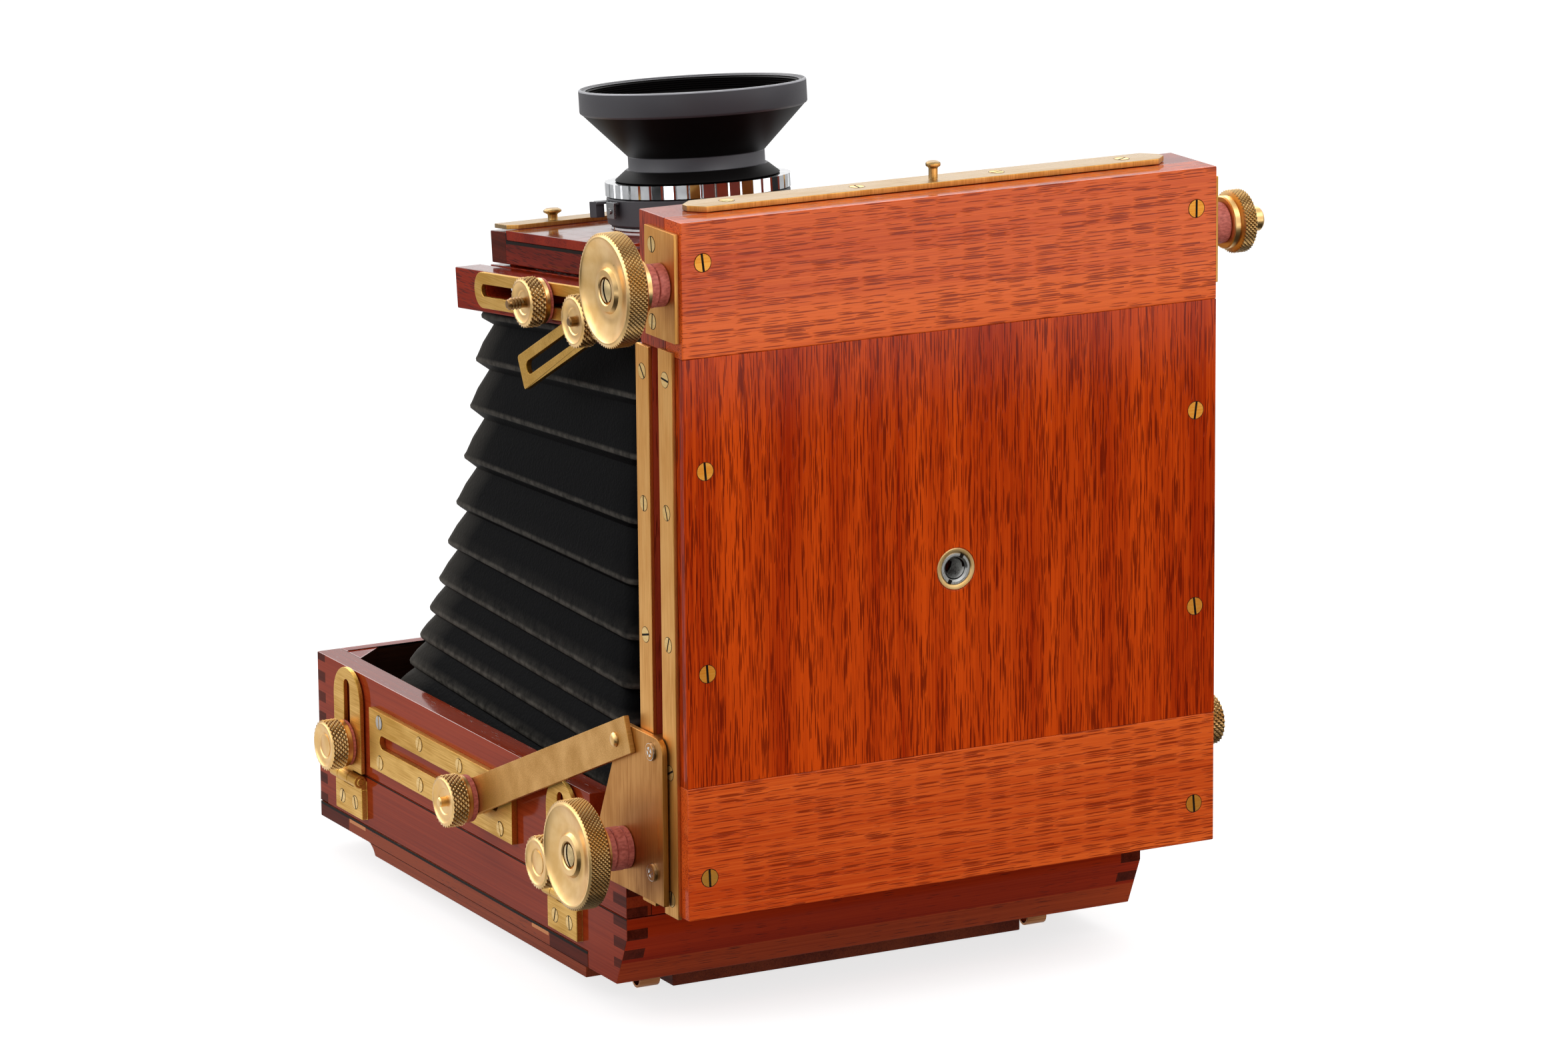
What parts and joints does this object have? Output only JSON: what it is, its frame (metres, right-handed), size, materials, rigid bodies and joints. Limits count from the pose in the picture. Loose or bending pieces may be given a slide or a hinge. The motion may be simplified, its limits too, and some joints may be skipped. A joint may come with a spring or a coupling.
{
  "type": "field camera",
  "caption": "Folding wooden large-format field camera with brass fittings, rack focusing, pleated leather bellows and a lens in a between-lens shutter, standing on its back.",
  "frame": {"origin": "centre of the whole camera's box on the plane it stands on, the camera lying on its back", "axes": "+Z along the line from the back to the lens, up; -Y out of the bed's outer face, where the tripod socket opens; +X to the right seen from the bed"},
  "size_m": [0.229, 0.2802, 0.269],
  "materials": {
    "mahogany": "varnished red mahogany",
    "panel_wood": "varnished orange-red mahogany",
    "dark_wood": "varnished dark mahogany",
    "brass": "aged satin brass",
    "steel": "plain turned steel",
    "fibre": "red-brown vulcanised fibre",
    "black_enamel": "satin black",
    "chrome": "satin chrome",
    "lens_glass": "coated lens glass",
    "ground_glass": "finely ground on one side",
    "leather": "black folded leather"
  },
  "bodies": {
    "bed": {"bed_panel": "panel_wood", "bed_cleats": "mahogany", "bed_rails": "mahogany", "side_brasses": "brass", "rear_racks": "brass", "tripod_bush": "brass", "bush_reducer": "steel", "bed_screws": "brass", "rail_screws": "brass"},
    "front_drive": {"front_shaft": "steel", "front_knob": "brass", "front_washers": "fibre"},
    "front_lock": {"front_lock_knob": "brass"},
    "front_slide": {"slide_board": "panel_wood", "end_plate": "brass", "slide_racks": "brass", "hinge_feet": "brass"},
    "stay_left": {"stay_left": "brass"},
    "stay_right": {"stay_right": "brass"},
    "stay_knob_left": {"stay_knob_left": "brass"},
    "stay_knob_right": {"stay_knob_right": "brass"},
    "front_standard": {"uprights": "mahogany", "upright_plates": "brass"},
    "lens_stage": {"stage_board": "mahogany", "lens_frame": "mahogany", "lens_board": "mahogany", "shutter_body": "black_enamel", "lens_barrel": "black_enamel", "front_glass": "lens_glass"},
    "board_catch": {"board_catch": "brass"},
    "rise_knob_left": {"rise_knob_left": "brass"},
    "rise_knob_right": {"rise_knob_right": "brass"},
    "shutter_ring": {"shutter_ring": "chrome"},
    "aperture_lever": {"aperture_lever": "black_enamel"},
    "release_lever": {"release_lever": "steel"},
    "rear_carriage": {"carriage_brackets": "brass"},
    "rear_drive": {"rear_shaft": "steel", "rear_knob": "brass", "rear_washers": "fibre"},
    "rear_lock": {"rear_lock_knob": "brass"},
    "rear_frame": {"frame_sides": "dark_wood", "frame_ends": "dark_wood", "slot_plates": "brass", "pivot_ears": "brass", "bellows": "leather"},
    "strut_left": {"strut_left": "brass"},
    "strut_right": {"strut_right": "brass"},
    "strut_knob_left": {"strut_knob_left": "brass"},
    "strut_knob_right": {"strut_knob_right": "brass"},
    "links_left": {"links_left": "brass"},
    "links_right": {"links_right": "brass"},
    "link_knob_near_left": {"link_knob_near_left": "brass"},
    "link_knob_far_left": {"link_knob_far_left": "brass"},
    "link_knob_near_right": {"link_knob_near_right": "brass"},
    "link_knob_far_right": {"link_knob_far_right": "brass"},
    "back": {"back_frame": "dark_wood", "back_panel": "mahogany", "back_springs": "brass"},
    "glass_holder": {"glass_frame": "mahogany", "focus_glass": "ground_glass"}
  },
  "joints": [
    {"name": "front_focus", "type": "slide", "parent": "bed", "child": "front_slide", "axis": [0, 0, 1], "range_m": [0, 0.12], "deforming": ["bellows"]},
    {"name": "front_drive_turn", "type": "hinge", "parent": "bed", "child": "front_drive", "pos_m": [0, -0.1231, 0.2369], "axis": [1, 0, 0], "range_deg": [-5, 1440]},
    {"name": "front_lock_turn", "type": "hinge", "parent": "bed", "child": "front_lock", "pos_m": [0.097, -0.1231, 0.2369], "axis": [1, 0, 0], "range_deg": [0, 270]},
    {"name": "front_tilt", "type": "hinge", "parent": "front_slide", "child": "front_standard", "pos_m": [0, -0.1021, 0.2166], "axis": [1, 0, 0], "range_deg": [-12, 12], "deforming": ["bellows"]},
    {"name": "stay_left_swing", "type": "hinge", "parent": "front_slide", "child": "stay_left", "pos_m": [-0.0634, -0.1026, 0.2465], "axis": [1, 0, 0], "range_deg": [-11, 11]},
    {"name": "stay_right_swing", "type": "hinge", "parent": "front_slide", "child": "stay_right", "pos_m": [0.0634, -0.1026, 0.2465], "axis": [1, 0, 0], "range_deg": [-11, 11]},
    {"name": "stay_knob_left_turn", "type": "hinge", "parent": "front_standard", "child": "stay_knob_left", "pos_m": [-0.066, -0.01993, 0.20529], "axis": [1, 0, 0], "range_deg": [-180, 180]},
    {"name": "stay_knob_right_turn", "type": "hinge", "parent": "front_standard", "child": "stay_knob_right", "pos_m": [0.066, -0.01993, 0.20529], "axis": [1, 0, 0], "range_deg": [-180, 180]},
    {"name": "front_rise", "type": "slide", "parent": "front_standard", "child": "lens_stage", "axis": [0, 0.9947, -0.1028], "range_m": [-0.0085, 0.045], "deforming": ["bellows"]},
    {"name": "rise_knob_left_turn", "type": "hinge", "parent": "lens_stage", "child": "rise_knob_left", "pos_m": [-0.064, 0.02075, 0.20391], "axis": [1, 0, 0], "range_deg": [-180, 180]},
    {"name": "rise_knob_right_turn", "type": "hinge", "parent": "lens_stage", "child": "rise_knob_right", "pos_m": [0.064, 0.02075, 0.20391], "axis": [1, 0, 0], "range_deg": [-180, 180]},
    {"name": "catch_slide", "type": "slide", "parent": "lens_stage", "child": "board_catch", "axis": [1, 0, 0], "range_m": [-0.004, 0.004]},
    {"name": "shutter_ring_turn", "type": "hinge", "parent": "lens_stage", "child": "shutter_ring", "pos_m": [0, 0.03547, 0.23254], "axis": [0, 0.1028, 0.9947], "range_deg": [-60, 60]},
    {"name": "aperture_turn", "type": "hinge", "parent": "lens_stage", "child": "aperture_lever", "pos_m": [0, 0.03454, 0.22359], "axis": [0, 0.1028, 0.9947], "range_deg": [-40, 5]},
    {"name": "release_turn", "type": "hinge", "parent": "lens_stage", "child": "release_lever", "pos_m": [0, 0.03469, 0.22498], "axis": [0, 0.1028, 0.9947], "range_deg": [0, 22], "stiffness_Nm_per_rad": 0.02, "springref_deg": -11.46},
    {"name": "rear_focus", "type": "slide", "parent": "bed", "child": "rear_carriage", "axis": [0, 0, 1], "range_m": [0, 0.1], "deforming": ["bellows"]},
    {"name": "rear_drive_turn", "type": "hinge", "parent": "rear_carriage", "child": "rear_drive", "pos_m": [0, -0.0981, 0.0586], "axis": [1, 0, 0], "range_deg": [-5, 1200]},
    {"name": "rear_lock_turn", "type": "hinge", "parent": "rear_carriage", "child": "rear_lock", "pos_m": [0.098, -0.1076, 0.0747], "axis": [1, 0, 0], "range_deg": [-180, 180]},
    {"name": "rear_tilt", "type": "hinge", "parent": "rear_carriage", "child": "rear_frame", "pos_m": [0, -0.0981, 0.0586], "axis": [1, 0, 0], "range_deg": [-11, 11], "deforming": ["bellows"]},
    {"name": "strut_left_swing", "type": "hinge", "parent": "rear_carriage", "child": "strut_left", "pos_m": [-0.0963, -0.0954, 0.092], "axis": [1, 0, 0], "range_deg": [-11.4, 11.4]},
    {"name": "strut_right_swing", "type": "hinge", "parent": "rear_carriage", "child": "strut_right", "pos_m": [0.0963, -0.0954, 0.092], "axis": [1, 0, 0], "range_deg": [-11.4, 11.4]},
    {"name": "strut_knob_left_turn", "type": "hinge", "parent": "strut_left", "child": "strut_knob_left", "pos_m": [-0.099, 0.0098, 0.04825], "axis": [1, 0, 0], "range_deg": [-180, 180]},
    {"name": "strut_knob_right_turn", "type": "hinge", "parent": "strut_right", "child": "strut_knob_right", "pos_m": [0.099, 0.0098, 0.04825], "axis": [1, 0, 0], "range_deg": [-180, 180]},
    {"name": "back_draw", "type": "slide", "parent": "rear_frame", "child": "links_left", "axis": [0, 0, -1], "range_m": [0, 0.009], "deforming": ["bellows"]},
    {"name": "back_swing", "type": "hinge", "parent": "links_left", "child": "back", "pos_m": [-0.0936, 0.0269, 0.0308], "axis": [0, 1, 0], "range_deg": [0, 3], "deforming": ["bellows"]},
    {"name": "link_right_fold", "type": "hinge", "parent": "back", "child": "links_right", "pos_m": [0.0936, 0.0269, 0.0308], "axis": [0, 1, 0], "range_deg": [-3, 0]},
    {"name": "link_knob_near_left_turn", "type": "hinge", "parent": "rear_frame", "child": "link_knob_near_left", "pos_m": [-0.095, -0.0485, 0.0421], "axis": [1, 0, 0], "range_deg": [-180, 180]},
    {"name": "link_knob_near_right_turn", "type": "hinge", "parent": "rear_frame", "child": "link_knob_near_right", "pos_m": [0.095, -0.0485, 0.0421], "axis": [1, 0, 0], "range_deg": [-180, 180]},
    {"name": "link_knob_far_left_turn", "type": "hinge", "parent": "rear_frame", "child": "link_knob_far_left", "pos_m": [-0.095, 0.1121, 0.0421], "axis": [1, 0, 0], "range_deg": [-180, 180]},
    {"name": "link_knob_far_right_turn", "type": "hinge", "parent": "rear_frame", "child": "link_knob_far_right", "pos_m": [0.095, 0.1121, 0.0421], "axis": [1, 0, 0], "range_deg": [-180, 180]},
    {"name": "glass_lift", "type": "slide", "parent": "back", "child": "glass_holder", "axis": [0, 0, -1], "range_m": [0, 0.006], "stiffness_N_per_m": 600, "springref_m": -0.005}
  ],
  "couplings": [
    {"joint": "front_drive_turn", "follows": "front_focus", "rad_per_m": 208.33},
    {"joint": "rear_drive_turn", "follows": "rear_focus", "rad_per_m": 208.33},
    {"joint": "stay_left_swing", "follows": "front_tilt", "ratio": 0.851},
    {"joint": "stay_right_swing", "follows": "front_tilt", "ratio": 0.851},
    {"joint": "strut_left_swing", "follows": "rear_tilt", "ratio": 1.0257},
    {"joint": "strut_right_swing", "follows": "rear_tilt", "ratio": 1.0257},
    {"joint": "link_right_fold", "follows": "back_swing", "ratio": -1}
  ]
}
